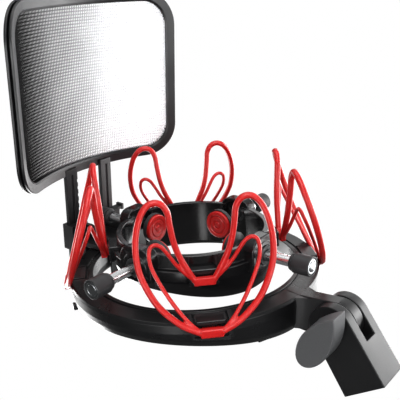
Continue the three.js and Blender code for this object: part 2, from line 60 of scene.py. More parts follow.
FILTER_Y, PIVOT_Z = -94.0, 50.0
ROUND_STEPS = 240  # sections round the ring and the cradle
BOLT_GAP = 0.3


def turn(degrees, axis):
    return Matrix.Rotation(math.radians(degrees), 4, axis)


def shift(x, y, z):
    return Matrix.Translation((x, y, z))


SCALE = Matrix.Scale(MM, 4)
RING = Matrix.Translation(HINGE + Vector((0, -REACH, DROP)) * MM) @ SCALE
BLOCK = turn(STAND_LEAN, "X") @ SCALE
LEVER = Matrix.Translation(HINGE) @ SCALE
FILTER = RING @ shift(0, FILTER_Y, PIVOT_Z) @ turn(-FILTER_LEAN, "X")


# ---- materials ----------------------------------------------------------------------------------
BROAD_NOISE = 55  # per metre, the scale of the unevenness in gloss
GRAIN_DEPTH = 0.00005


def node_material(name, colour, roughness, grain, grain_size=0.4, metallic=0.0, coat=0.0,
                  coat_roughness=0.1, vary=0.15, specular=0.5, painted_edge_highlight=0.0, second=None):
    """Finish with slightly uneven gloss and tone, a fine grain, and a painted highlight that makes sharp edges
    paler.
    """
    m = bpy.data.materials.new(name)
    m.use_nodes = True
    tree = m.node_tree
    nodes, links = tree.nodes, tree.links
    shader = nodes["Principled BSDF"]
    shader.inputs["Metallic"].default_value = metallic
    shader.inputs["Coat Weight"].default_value = coat
    shader.inputs["Coat Roughness"].default_value = coat_roughness
    shader.inputs["Specular IOR Level"].default_value = specular
    place = nodes.new("ShaderNodeTexCoord")

    def noise(scale, detail):
        n = nodes.new("ShaderNodeTexNoise")
        n.inputs["Scale"].default_value = scale
        n.inputs["Detail"].default_value = detail
        n.inputs["Roughness"].default_value = 0.5
        links.new(place.outputs["Object"], n.inputs["Vector"])
        return n

    broad = noise(BROAD_NOISE, 4)
    fine = noise(1 / (grain_size * MM), 3)
    ramp = nodes.new("ShaderNodeMapRange")
    ramp.inputs["From Min"].default_value = 0.3
    ramp.inputs["From Max"].default_value = 0.7
    ramp.inputs["To Min"].default_value = roughness * (1 - vary)
    ramp.inputs["To Max"].default_value = min(1.0, roughness * (1 + vary))
    links.new(broad.outputs["Fac"], ramp.inputs["Value"])
    links.new(ramp.outputs["Result"], shader.inputs["Roughness"])
    tint = nodes.new("ShaderNodeMix")
    tint.data_type = "RGBA"
    other = second or tuple(min(1.0, c * 1.35 + 0.002) for c in colour)
    tint.inputs["A"].default_value = (*colour, 1)
    tint.inputs["B"].default_value = (*other, 1)
    speck = nodes.new("ShaderNodeMapRange")
    speck.inputs["From Min"].default_value = 0.35
    speck.inputs["From Max"].default_value = 0.75
    links.new(fine.outputs["Fac"], speck.inputs["Value"])
    links.new(speck.outputs["Result"], tint.inputs["Factor"])
    colour_out = tint.outputs["Result"]
    # painted highlight: sharp edges, found by pointiness, are painted paler as if lit along their rims
    if painted_edge_highlight:
        geometry = nodes.new("ShaderNodeNewGeometry")
        edge_highlight_mask = nodes.new("ShaderNodeMapRange")
        edge_highlight_mask.inputs["From Min"].default_value = 0.52
        edge_highlight_mask.inputs["From Max"].default_value = 0.62
        edge_highlight_mask.inputs["To Max"].default_value = painted_edge_highlight
        links.new(geometry.outputs["Pointiness"], edge_highlight_mask.inputs["Value"])
        edge_highlight_mix = nodes.new("ShaderNodeMix")
        edge_highlight_mix.data_type = "RGBA"
        links.new(colour_out, edge_highlight_mix.inputs["A"])
        edge_highlight_mix.inputs["B"].default_value = (*(min(1.0, c * 2.5 + 0.03) for c in colour), 1)
        links.new(edge_highlight_mask.outputs["Result"], edge_highlight_mix.inputs["Factor"])
        colour_out = edge_highlight_mix.outputs["Result"]
    links.new(colour_out, shader.inputs["Base Color"])
    bump = nodes.new("ShaderNodeBump")
    bump.inputs["Strength"].default_value = grain
    bump.inputs["Distance"].default_value = GRAIN_DEPTH
    links.new(fine.outputs["Fac"], bump.inputs["Height"])
    links.new(bump.outputs["Normal"], shader.inputs["Normal"])
    return m


# Painted reflection: stops of (position across the panel, grey) that paint the wire dark on one side and pale
# on the other
PAINTED_REFLECTION_TONES = (
    (0, 0.02), (0.15, 0.03), (0.24, 0.13), (0.313, 0.26), (0.45, 0.42), (0.58, 0.64), (0.66, 0.84),
    (0.8, 0.95), (1, 1))
PAINTED_REFLECTION_SPREAD = 0.066  # half the width over which the painted reflection gradient runs, in metres


def wire_material(name, roughness):
    """Drawn wire whose colour is painted from dark to pale across the panel, a painted reflection that is dark
    on one side and pale on the other.
    """
    m = node_material(name, (0.9, 0.9, 0.92), roughness, 0.1, metallic=1.0, vary=0.2, second=(1, 1, 1))
    nodes, links = m.node_tree.nodes, m.node_tree.links
    place = next(n for n in nodes if n.type == "TEX_COORD")
    apart = nodes.new("ShaderNodeSeparateXYZ")
    links.new(place.outputs["Object"], apart.inputs["Vector"])
    across = nodes.new("ShaderNodeMapRange")
    across.inputs["From Min"].default_value = PAINTED_REFLECTION_SPREAD
    across.inputs["From Max"].default_value = -PAINTED_REFLECTION_SPREAD
    links.new(apart.outputs["X"], across.inputs["Value"])
    ramp = nodes.new("ShaderNodeValToRGB")
    stops = ramp.color_ramp.elements
    while len(stops) < len(PAINTED_REFLECTION_TONES):
        stops.new(0.5)
    for stop, (at, tone) in zip(stops, PAINTED_REFLECTION_TONES):
        stop.position = at
        stop.color = (tone, tone, tone * 1.01, 1)
    links.new(across.outputs["Result"], ramp.inputs["Fac"])
    # the painted reflection gradient is multiplied into the wire's colour
    blend = nodes.new("ShaderNodeMix")
    blend.data_type, blend.blend_type = "RGBA", "MULTIPLY"
    blend.inputs["Factor"].default_value = 1
    shader = nodes["Principled BSDF"]
    links.new(shader.inputs["Base Color"].links[0].from_socket, blend.inputs["A"])
    links.new(ramp.outputs["Color"], blend.inputs["B"])
    links.new(blend.outputs["Result"], shader.inputs["Base Color"])
    return m


# the edge strengths given below set a painted highlight on each material's sharp edges
MAT = {
    "ring": node_material("ring_plastic", (0.007, 0.0071, 0.0078), 0.3, 0.22, 0.5, painted_edge_highlight=0.5),
    "cradle": node_material("cradle_plastic", (0.006, 0.006, 0.0068), 0.2, 0.06, 0.6, specular=0.6, painted_edge_highlight=0.6),
    "block": node_material("block_plastic", (0.009, 0.0091, 0.0098), 0.36, 0.45, 0.35, painted_edge_highlight=0.3),
    "knob": node_material("knob_plastic", (0.026, 0.0265, 0.028), 0.48, 0.6, 0.3, painted_edge_highlight=0.3),
    "lever": node_material("lever_plastic", (0.09, 0.092, 0.095), 0.5, 0.4, 0.35, painted_edge_highlight=0.25),
    "frame": node_material("frame_plastic", (0.009, 0.0092, 0.0104), 0.34, 0.35, specular=0.62, painted_edge_highlight=0.3),
    "red": node_material("red_elastomer", (0.46, 0.012, 0.012), 0.36, 0.12, 0.8, vary=0.25, coat=0.2,
                         coat_roughness=0.2, second=(0.53, 0.018, 0.016)),
    "chrome": node_material("chrome_plate", (0.9, 0.9, 0.91), 0.18, 0.05, metallic=1.0, vary=0.3,
                            second=(0.86, 0.87, 0.88)),
    "mesh": wire_material("steel_wire_painted_reflection", 0.5),
    "cap": node_material("dark_metal", (0.30, 0.31, 0.32), 0.16, 0.04, metallic=1.0, vary=0.3,
                         second=(0.36, 0.37, 0.38)),
    "brass": node_material("turned_brass", (0.72, 0.53, 0.22), 0.24, 0.2, metallic=1.0, vary=0.4,
                           second=(0.62, 0.43, 0.17)),
}


# ---- mesh tools (millimetres until a piece is placed) ---------------------------------------------
def fillet(corners, steps=4):
    """Closed outline of (u, v, radius) corners with every corner rounded by its radius."""
    out = []
    for i, (x, y, r) in enumerate(corners):
        p = np.array((x, y), float)
        before = np.array(corners[i - 1][:2], float) - p
        after = np.array(corners[(i + 1) % len(corners)][:2], float) - p
        lb, la = np.linalg.norm(before), np.linalg.norm(after)
        before, after = before / lb, after / la
        half = math.acos(max(-1.0, min(1.0, float(before @ after)))) / 2
        if r <= 0 or half > 1.56:
            out += [tuple(p)] * (steps + 1)
            continue
        t = min(r / math.tan(half), 0.49 * lb, 0.49 * la)
        r = t * math.tan(half)
        centre = p + (before + after) / np.linalg.norm(before + after) * r / math.sin(half)
        start, end = p + before * t - centre, p + after * t - centre
        a0, a1 = math.atan2(start[1], start[0]), math.atan2(end[1], end[0])
        sweep = (a1 - a0 + math.pi) % (2 * math.pi) - math.pi
        for k in range(steps + 1):
            a = a0 + sweep * k / steps
            out.append((centre[0] + r * math.cos(a), centre[1] + r * math.sin(a)))
    return out


def skin(rings, loop=False):
    """Closed skin over equal rings of points."""
    n = len(rings[0])
    verts = [p for ring in rings for p in ring]
    faces = []
    for i in range(len(rings) if loop else len(rings) - 1):
        here, there = i * n, ((i + 1) % len(rings)) * n
        faces += [(here + j, there + j, there + (j + 1) % n, here + (j + 1) % n) for j in range(n)]
    if not loop:
        last = (len(rings) - 1) * n
        faces += [tuple(range(n)), tuple(last + n - 1 - j for j in range(n))]
    return verts, faces


def around_z(section, angles):
    rings = []
    for a in angles:
        c, s = math.cos(a), math.sin(a)
        rings.append([(r * c, r * s, z) for r, z in section(a)])
    return skin(rings, loop=True)


def around_x(profile, sides=64):
    """Solid of revolution about X from a closed outline of (x, radius)."""
    rings = []
    for k in range(sides):
        a = 2 * math.pi * k / sides
        rings.append([(x, r * math.cos(a), r * math.sin(a)) for x, r in profile])
    return skin(rings, loop=True)


def slab(outline, x0, x1):
    """Outline of (y, z) points from x0 to x1."""
    return skin([[(x, y, z) for y, z in outline] for x in (x0, x1)])


def brick(x0, x1, y0, y1, z0, z1):
    return slab([(y0, z0), (y1, z0), (y1, z1), (y0, z1)], x0, x1)


def arc(cy, cz, r, a0, a1, steps=24):
    return [(cy + r * math.cos(math.radians(a0 + (a1 - a0) * k / steps)),
             cz + r * math.sin(math.radians(a0 + (a1 - a0) * k / steps))) for k in range(steps + 1)]


def spline(points, count):
    """Evenly spaced points on a smooth curve through the given ones."""
    p = np.array(points, float)
    p = np.vstack([2 * p[0] - p[1], p, 2 * p[-1] - p[-2]])
    dense = []
    for i in range(1, len(p) - 2):
        p0, p1, p2, p3 = p[i - 1:i + 3]
        t0 = 0.0
        t1 = t0 + np.linalg.norm(p1 - p0) ** 0.5
        t2 = t1 + np.linalg.norm(p2 - p1) ** 0.5
        t3 = t2 + np.linalg.norm(p3 - p2) ** 0.5
        for t in np.linspace(t1, t2, 24, endpoint=False):
            a1 = (t1 - t) / (t1 - t0) * p0 + (t - t0) / (t1 - t0) * p1
            a2 = (t2 - t) / (t2 - t1) * p1 + (t - t1) / (t2 - t1) * p2
            a3 = (t3 - t) / (t3 - t2) * p2 + (t - t2) / (t3 - t2) * p3
            b1 = (t2 - t) / (t2 - t0) * a1 + (t - t0) / (t2 - t0) * a2
            b2 = (t3 - t) / (t3 - t1) * a2 + (t - t1) / (t3 - t1) * a3
            dense.append((t2 - t) / (t2 - t1) * b1 + (t - t1) / (t2 - t1) * b2)
    dense = np.array(dense + [p[-2]])
    along = np.concatenate([[0], np.cumsum(np.linalg.norm(np.diff(dense, axis=0), axis=1))])
    want = np.linspace(0, along[-1], count)
    return np.stack([np.interp(want, along, dense[:, k]) for k in range(3)], 1)


def strand(route, across, along, count=90, sides=14):
    """Oval tube on a route of (radial, tangential, height) points, its long axis kept radial."""
    line = spline(route, count)
    tangent = np.gradient(line, axis=0)
    tangent /= np.linalg.norm(tangent, axis=1)[:, None]
    rings = []
    for centre, t in zip(line, tangent):
        side = np.cross(t, (1, 0, 0))
        side /= np.linalg.norm(side)
        out = np.cross(side, t)
        rings.append([tuple(centre + side * across * math.cos(a) + out * along * math.sin(a))
                      for a in np.linspace(0, 2 * math.pi, sides, endpoint=False)])
    return skin(rings)


def raw(*shells):
    """Temporary object from one or more closed shells."""
    bm = bmesh.new()
    for verts, faces in shells:
        made = [bm.verts.new(v) for v in verts]
        for f in faces:
            bm.faces.new([made[i] for i in f])
    bmesh.ops.remove_doubles(bm, verts=bm.verts, dist=1e-3)
    bmesh.ops.dissolve_degenerate(bm, edges=bm.edges, dist=1e-4)
    bmesh.ops.recalc_face_normals(bm, faces=bm.faces)
    data = bpy.data.meshes.new("part")
    bm.to_mesh(data)
    bm.free()
    o = bpy.data.objects.new("part", data)
    bpy.context.scene.collection.objects.link(o)
    return o


def settle(o):
    """Applies the object's modifiers to its mesh."""
    depsgraph = bpy.context.evaluated_depsgraph_get()
    done = bpy.data.meshes.new_from_object(o.evaluated_get(depsgraph))
    o.modifiers.clear()
    old, o.data = o.data, done
    bpy.data.meshes.remove(old)
    return o


def combine(o, operation, *tools):
    for tool in tools:
        if isinstance(tool, tuple):
            tool = raw(tool)
        m = o.modifiers.new("combine", "BOOLEAN")
        m.operation, m.solver, m.object = operation, "EXACT", tool
        settle(o)
        bpy.data.objects.remove(tool)
    return o


def cut(o, *tools):
    return combine(o, "DIFFERENCE", *tools)


def weld(o, *tools):
    return combine(o, "UNION", *tools)


def soften(o, width, segments=3, angle=32):
    m = o.modifiers.new("soften", "BEVEL")
    m.width, m.segments, m.limit_method = width, segments, "ANGLE"
    m.angle_limit = math.radians(angle)
    m.use_clamp_overlap = True
    return settle(o)


def rotated(shell, matrix):
    verts, faces = shell
    return [tuple(matrix @ Vector(v)) for v in verts], faces


def piece(name, o, place, material, body, nodes, sharp=38):
    """Places a finished part in the row frame and hands it to its body."""
    if isinstance(o, tuple):
        o = raw(o)
    o.name = o.data.name = name
    o.data.transform(place)
    o.data.materials.clear()
    o.data.materials.append(MAT[material])
    o.data.shade_smooth()
    o.data.set_sharp_from_angle(angle=math.radians(sharp))
    m = o.modifiers.new("normals", "WEIGHTED_NORMAL")
    m.keep_sharp = True
    if body:
        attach(o, body)
    if nodes:
        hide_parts(*nodes)
    return o


# ---- stand block and hinge -------------------------------------------------------------------------
HALF_X, HALF_BASE, CHEEK_R = 11.0, 13.0, 12.3
SLOT_HALF, SLOT_FLOOR = 4.5, 13.4
SOCKET_R, SOCKET_DEPTH = 9.2, 14.0
BOLT_R = 2.5


def hexagon(across, cy=0.0, cz=0.0):
    r = across / math.sqrt(3)
    corners = [math.radians(60 * k) for k in range(6)]
    return [(cy + r * math.cos(a), cz + r * math.sin(a)) for a in corners]


def rod(x0, x1, r, sides=48):
    return around_x([(x0, 0), (x0, r), (x1, r), (x1, 0)], sides)


def make_stand_block():
    outline = [(-HALF_BASE, 0), (HALF_BASE, 0)] + arc(0, BLOCK_LENGTH, CHEEK_R, 0, 180, 48)
    o = raw(slab(outline, -HALF_X, HALF_X))
    hole = rotated(rod(-20, 20, BOLT_R + BOLT_GAP), shift(0, 0, BLOCK_LENGTH))
    nut = rotated(slab(hexagon(8.6), -20, 4 - HALF_X), shift(0, 0, BLOCK_LENGTH))
    socket = rotated(rod(-1, SOCKET_DEPTH, SOCKET_R, 64), turn(-90, "Y"))
    slot_floor = BLOCK_LENGTH - SLOT_FLOOR
    cut(o, brick(-SLOT_HALF, SLOT_HALF, -20, 20, slot_floor, BLOCK_LENGTH + 20))
    soften(o, 0.55, 3)
    cut(o, hole, nut, socket)
    piece("block_body", o, BLOCK, "block", "stand", ["stand_block"])


def threaded_tube(inner, outer, z0, z1, pitch, depth, sides=48):
    """Tube about Z whose bore carries a helical thread."""
    rows = int((z1 - z0) / pitch * 8)
    rings = []
    for k in range(sides):
        a = 2 * math.pi * k / sides
        c, s = math.cos(a), math.sin(a)
        ring = []
        for i in range(rows + 1):
            z = z0 + (z1 - z0) * i / rows
            phase = (z / pitch - k / sides) % 1.0
            fade = min(1.0, (z - z0) / pitch, (z1 - z) / pitch)
            r = inner + depth * fade * (1 - abs(2 * phase - 1))
            ring.append((r * c, r * s, z))
        for r, z in ((outer - 0.5, z1), (outer, z1 - 0.5), (outer, z0 + 0.5), (outer - 0.5, z0)):
            ring.append((r * c, r * s, z))
        rings.append(ring)
    return skin(rings, loop=True)


def make_hinge():
    piece("insert_thread", threaded_tube(7.95, SOCKET_R - 0.3, 0.3, SOCKET_DEPTH - 0.3, 0.94, 0.4),
          BLOCK, "brass", "stand", ["thread_insert"])
    adapter = raw(threaded_tube(4.77, 7.6, 0.6, 11, 1.59, 0.7))
    cut(adapter, brick(-10, 10, -0.8, 0.8, -1, 2.2))
    piece("adapter_thread", adapter, BLOCK, "brass", "stand", ["thread_adapter"])
    axle = BLOCK @ shift(0, 0, BLOCK_LENGTH)
    bolt = around_x(fillet([(-10.7, 0, 0), (-10.7, BOLT_R, 0.4), (17, BOLT_R, 0.4), (17, 0, 0)]), 40)
    piece("hinge_axle", bolt, axle, "chrome", "stand", ["hinge_bolt"])
    nut = raw(slab(hexagon(8), -10.6, -7.3))
    cone = around_x([(-10.7, 0), (-10.7, 3.9), (-9.9, 4.7), (-7, 4.7), (-7, 0)], 48)
    combine(nut, "INTERSECT", cone)
    cut(nut, rod(-20, 0, BOLT_R + BOLT_GAP))
    piece("hinge_hex_nut", nut, axle, "chrome", "stand", ["hinge_nut"])
    washer = around_x(fillet([(11.3, 2.8, 0.1), (11.3, 7.5, 0.3), (12.3, 7.5, 0.3), (12.3, 2.8, 0.1)]), 64)
    piece("hinge_spacer", washer, axle, "chrome", "stand", ["hinge_washer"])


# ---- clamp lever: an oval drawn to a corner above the hinge ------------------------------------------
LEVER_BACK, LEVER_FACE, BOLT_END = 12.6, 25.5, 17.0
LEVER_WIDE, LEVER_ROUND, LEVER_POINT = 8.3, 15.0, 22.0
LEVER_AT, LEVER_ANGLE = (-2.0, -4.5), 59.0


def lever_outline(inset=0.0):
    """Outline in (y, z) from the hinge axis, shrunk by inset."""
    wide, end, point = LEVER_WIDE - inset, LEVER_ROUND - inset, LEVER_POINT - 1.4 * inset
    steps = np.linspace(0, 1, 25)
    side = [((1 - t) ** 2 * point + t * (1 - t) * point, (2 * t - t * t) * wide) for t in steps]
    angles = np.linspace(math.pi / 2, 1.5 * math.pi, 49)[1:-1]
    back = [(end * math.cos(a), wide * math.sin(a)) for a in angles]
    mirrored = [(s, -w) for s, w in side[:0:-1]]
    c, n = math.cos(math.radians(LEVER_ANGLE)), math.sin(math.radians(LEVER_ANGLE))
    return [(LEVER_AT[0] + s * c - w * n, LEVER_AT[1] + s * n + w * c) for s, w in side + back + mirrored]


def make_lever():
    rings = []
    for x, inset in (
            (LEVER_BACK, 0.7), (LEVER_BACK + 0.3, 0.25), (LEVER_BACK + 0.8, 0), (LEVER_FACE - 0.9, 0),
            (LEVER_FACE - 0.5, 0.08), (LEVER_FACE - 0.2, 0.25), (LEVER_FACE - 0.04, 0.5), (LEVER_FACE, 0.8)):
        rings.append([(x, y, z) for y, z in lever_outline(inset)])
    o = raw(skin(rings))
    cut(o, rod(0, BOLT_END + 0.5, BOLT_R + BOLT_GAP))
    piece("lever_paddle", o, LEVER, "lever", "lever", ["clamp_lever"], 30)


# ---- outer ring ---------------------------------------------------------------------------------------
BORE, OUT, DEPTH, ARM_DEPTH = 62.0, 76.4, 15.0, 22.0
ARM_HALF, ARM_EYE_R = 4, 12


def ring_low(a):
    return -(DEPTH + (ARM_DEPTH - DEPTH) * max(0.0, math.sin(a)) ** 4)


def ring_section(a):
    low = ring_low(a)
    return fillet([
        (BORE, 0, 0.4), (64.4, 0, 0.3), (64.8, -0.9, 0.2), (65.7, -0.9, 0.2), (66.1, -0.1, 0.3),
        (75.3, -0.7, 0.8), (OUT - 0.2, -2.2, 0.8), (OUT, -6.5, 2), (OUT - 0.5, low + 5, 3.5),
        (72.8, low, 3), (65, low, 2.6), (62.5, low + 3, 2), (BORE, low + 7, 2)], 4)


def make_outer_ring():
    o = raw(around_z(ring_section, np.linspace(0, 2 * math.pi, ROUND_STEPS, endpoint=False)))
    low = ring_low(math.radians(70)) - 0.5
    ribs = ((332, brick(73, OUT + 0.9, -1.8, 1.8, -13, -9)), (70, brick(66.5, 72, -5, 5, low, low + 4)))
    for row, rib in ribs:
        rib = raw(rotated(rib, turn(row, "Z")))
        soften(rib, 0.8, 3)
        weld(o, rib)
    for row in LYRES.values():
        spin = turn(row, "Z")
        tools = [brick(73.9, 90, -9, 9, -9.4, 5), brick(70.5, 80, -5.2, 5.2, -7, -4),
                 brick(65.9, 80, 8.2, 9.4, -2.4, 3), brick(65.9, 80, -9.4, -8.2, -2.4, 3),
                 brick(65.6, 66.5, -9.4, 9.4, -2.0, 3)]
        cut(o, *(raw(rotated(t, spin)) for t in tools))
        tab = raw(rotated(brick(69, 75.4, -7.6, 7.6, -2.5, -0.25), spin))
        soften(tab, 0.5, 3)
        weld(o, tab)
    eye = arc(REACH, -DROP, ARM_EYE_R, -118, 90, 48)
    arm = [(70.4, -ARM_DEPTH + 1.2), (REACH - 6, -DROP - 11.4)] + eye + [(70.4, -0.8)]
    plate = raw(slab(arm, -ARM_HALF, ARM_HALF))
    soften(plate, 0.7, 3)
    weld(o, plate)
    inner = [(-9, 72.5, -0.7), (9, 72.5, -0.7), (9, 72.5, -19), (-9, 72.5, -19)]
    outer = [(-ARM_HALF, 83, -0.75), (ARM_HALF, 83, -0.75), (ARM_HALF, 83, -19.5), (-ARM_HALF, 83, -19.5)]
    weld(o, skin([inner, outer]))
    cut(o, rotated(rod(-10, 10, BOLT_R + BOLT_GAP), shift(0, REACH, -DROP)))
    soften(o, 0.22, 2, 50)
    piece("ring_body", o, RING, "ring", "ring", ["outer_ring"])


# ---- lyres ---------------------------------------------------------------------------------------------
BIG_LOOP = [
    (77.6, 5.2, -5.5), (76.4, 13.6, -1.6), (74.7, 20.4, 3.6), (72.7, 26.2, 9.7), (70.4, 30.5, 17),
    (67.8, 33.8, 25.2), (65.6, 35, 32.4), (62.9, 34.9, 40.8), (60.3, 33.2, 48.8), (58.5, 30.6, 54.7),
    (57.3, 27.4, 58.2), (57, 23.9, 59.3), (56.9, 20.1, 57.8), (56.6, 17.7, 53.6), (56.2, 16.8, 46.4),
    (55.5, 15.4, 37), (55, 13.1, 28.8), (54.6, 9.8, 21.5), (54, 5.2, 12.6)]
SMALL_LOOP = [
    (77.6, 5.2, -5.5), (75.5, 10.8, -0.5), (72.9, 15.8, 5.5), (70, 20.4, 12.3), (66.6, 24.9, 20.3),
    (63.4, 28.1, 27.8), (61.2, 28.6, 32.9), (59.8, 27.7, 36.2), (59.2, 25.3, 37.5), (58.8, 22.1, 35.9),
    (58, 19.3, 31.9), (56.7, 15.8, 25.7), (55.4, 11.4, 19.4), (54, 5.2, 12.6)]
# route, half thickness across it, half thickness along the radius
LOOPS = ((BIG_LOOP, 1.74, 1.97), (SMALL_LOOP, 1.15, 1.18))
FUSE_VOXEL = 0.45


def make_lyres():
    parts = []
    for route, across, along in LOOPS:
        parts.append(strand(route, across, along))
        parts.append(strand([(r, -t, z) for r, t, z in route], across, along))
    parts += [brick(75.7, 79.5, -5.9, 5.9, -7.8, -3.2), brick(52.3, 55.8, -5.9, 5.9, 10.1, 14.5)]
    parts += [brick(71.4, 76.5, -4.8, 4.8, -6.4, -4.6), brick(49.8, 53, -4.8, 4.8, 11.4, 13.2)]
    o = raw(*parts)
    m = o.modifiers.new("fuse", "REMESH")
    m.mode, m.voxel_size = "VOXEL", FUSE_VOXEL
    m = o.modifiers.new("smooth", "SMOOTH")
    m.factor, m.iterations = 0.5, 5
    settle(o)
    for place, row in LYRES.items():
        copy = bpy.data.objects.new("part", o.data.copy())
        bpy.context.scene.collection.objects.link(copy)
        spun = RING @ turn(row, "Z")
        p = piece(f"lyre_loops_{place}", copy, spun, "red", None, [f"lyre_{place}"], 60)
        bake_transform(p)
    bpy.data.objects.remove(o)


# ---- cradle --------------------------------------------------------------------------------------------
CRADLE_BORE, CRADLE_TOP, STEP_Z = 42.6, 23.5, 15.5
CRADLE_LOW, CRADLE_RISE = -3.9, 6.4


def cradle_section(a):
    low = CRADLE_LOW + CRADLE_RISE * max(0.0, math.cos(a)) ** 2.5
    return fillet([
        (CRADLE_BORE, low, 0.4), (CRADLE_BORE, CRADLE_TOP, 0.45), (46, CRADLE_TOP, 0.6),
        (46.4, STEP_Z + 0.3, 0.5), (49.3, STEP_Z, 0.6), (49.1, 9, 6), (46.6, low, 0.5)], 4)


HOUSING_START, HOUSING_OUT, HOUSING_HALF = 43.6, 51.4, 11.4
HOUSING_LOW, HOUSING_TOP = 7, 27.4
POCKET_R, POCKET_OUT = 9.9, 45.6


def pocket(x0, x1, r, low):
    """Room for a pad drawn all the way out: round above, open below."""
    outline = [(-r, low), (r, low)] + arc(0, SCREW_Z, r, 0, 180, 40)
    return slab(outline, x0, x1)


def housing(x0, x1):
    half, low, top = HOUSING_HALF, HOUSING_LOW, HOUSING_TOP
    return slab(fillet([(-half, low, 4), (half, low, 4), (half, top, 7), (-half, top, 7)], 10), x0, x1)


def make_cradle():
    o = raw(around_z(cradle_section, np.linspace(0, 2 * math.pi, ROUND_STEPS, endpoint=False)))
    for row, _ in STATIONS.values():
        spin = turn(row, "Z")
        block = raw(rotated(housing(HOUSING_START, HOUSING_OUT), spin))
        soften(block, 0.9, 4, 40)
        weld(o, block)
        end = HOUSING_OUT + 0.4
        rim = around_x(fillet([(end - 1, 6, 0), (end - 1, 8.9, 0.3), (end, 8.4, 0.3), (end, 6, 0.3)]), 64)
        weld(o, rotated(rotated(rim, spin), shift(0, 0, SCREW_Z)))
    for row in LYRES.values():
        spin = turn(row, "Z")
        seat = raw(rotated(brick(45, 51.2, -7.9, 7.9, 8, 17.5), spin))
        soften(seat, 0.6, 3)
        weld(o, seat)
        cut(o, rotated(brick(49.3, 60, -5.3, 5.3, 10.9, 13.7), spin))
    for row, _ in STATIONS.values():
        spin = turn(row, "Z")
        hole = rotated(rotated(rod(40, 60, 5.1), spin), shift(0, 0, SCREW_Z))
        cut(o, rotated(pocket(30, POCKET_OUT, POCKET_R, -9), spin), hole)
    soften(o, 0.2, 2, 50)
    piece("cradle_body", o, RING, "cradle", "cradle_unit", ["cradle"])


# ---- thumbscrews ---------------------------------------------------------------------------------------
SHANK_START, SHANK_END = 5.2, 52.6  # both from the pad's face, as are the knob's
KNOB_START, KNOB_END = 43.7, 54.1


def make_screw(name, row, face):
    """Thumbscrew at a row with its sleeve, pad and cup; face is the radius of the pad's face."""
    place = RING @ turn(row, "Z") @ shift(0, 0, SCREW_Z)

    def turned(title, outline, steps, sides, material, body, slot, *nodes):
        piece(f"{title}_{name}", around_x(fillet(outline, steps), sides), place, material, body, nodes)

    holder, screw = f"holder_{name}", f"screw_{name}"
    lip = HOUSING_OUT + 0.5
    sleeve = [
        (46.4, 3.3, 0.1), (46.4, 4.8, 0.1), (lip, 4.8, 0.1), (lip, 5.7, 0.1), (lip + 0.6, 5.7, 0.3),
        (lip + 0.6, 3.3, 0.2)]
    turned("bush_nut", sleeve, 3, 64, "knob", "cradle_unit", "black_plastic", f"bush_{name}")
    rings = [
        (face, 0, 0), (face, 1.5, 0.2), (face + 0.5, 1.9, 0.2), (face + 0.5, 2.9, 0.2),
        (face + 0.05, 3.2, 0.2), (face + 0.05, 4.9, 0.2), (face + 0.55, 5.3, 0.2),
        (face + 0.55, 6.1, 0.2), (face, 6.5, 0.2), (face, 8.7, 0.7), (face + 3.4, 8.7, 0.2), (face + 3.4, 0, 0)]
    turned("pad_face", rings, 3, 72, "red", holder, "elastomer", f"pad_{name}")
    floor = face + 3.7
    cup = [
        (floor, 0, 0), (floor, 9, 0.1), (face + 1.7, 9, 0.1), (face + 1.7, 9.4, 0.15), (face + 4.4, 9.4, 0.7),
        (face + 5.3, 8, 0.5), (face + 6.6, 5.6, 0.5), (face + 6.6, 3.3, 0.1), (face + 5, 3.3, 0.1),
        (face + 5, 0, 0)]
    turned("pad_shell", cup, 3, 72, "knob", holder, "black_plastic", f"pad_cup_{name}")
    x0, x1 = face + SHANK_START, face + SHANK_END
    shaft = [
        (x0, 0, 0), (x0, 2.6, 0.2), (x0 + 0.6, 3, 0.1), (x1 - 0.6, 3, 0.1), (x1, 2.6, 0.2), (x1, 0, 0)]
    turned("screw_shaft", shaft, 2, 48, "chrome", screw, "chrome", f"screw_rod_{name}")
    k0, k1 = face + KNOB_START, face + KNOB_END
    knob = [
        (k0, 3.3, 0.1), (k0, 5.6, 0.5), (k1, 5.6, 0.5), (k1, 4.8, 0.15), (k1 - 0.6, 4.6, 0.1),
        (k1 - 0.6, 0, 0), (k0 + 9.4, 0, 0), (k0 + 9.4, 3.3, 0)]
    turned("knob_grip", knob, 3, 72, "knob", screw, "knob_plastic", f"knob_{name}")
    cap = [
        (k1 - 0.55, 0, 0), (k1 - 0.55, 4.45, 0.05), (k1 - 0.2, 4.45, 0.15), (k1 - 0.2, 3.4, 0.05),
        (k1 - 0.4, 3.3, 0.05), (k1 - 0.4, 3, 0.05), (k1 - 0.15, 2.9, 0.1), (k1 - 0.05, 0.8, 0.3),
        (k1 - 0.05, 0, 0)]
    turned("knob_cap", cap, 3, 64, "cap", screw, "chrome")
    c1 = k0 - 0.3
    collar = [(c1 - 2, 3.3, 0.1), (c1 - 2, 4.4, 0.4), (c1, 5.2, 0.3), (c1, 3.3, 0.1)]
    turned("knob_ring", collar, 3, 64, "knob", screw, "knob_plastic", f"knob_collar_{name}")


# ---- pop filter ----------------------------------------------------------------------------------------
BEND, HALF_W, LOW, HIGH, CORNER, BAND = 118.0, 74.3, 47.0, 160.0, 22.8, 6.8
LAYER, WIRE = 1.7, 0.6
POST_X, POST_HALF, POST_BACK, POST_THICK = 15.3, 4.8, 3.8, 2.8
POST_GAP, DETENTS, DETENT_PITCH = 0.3, 6, 5
SLEEVE_HALF, SLEEVE_TOP, SLEEVE_LOW = 6.8, 13.5, -4.0


def on_panel(u, v, depth):
    a = u / BEND
    r = BEND - depth
    return r * math.sin(a), BEND - r * math.cos(a), v - PIVOT_Z


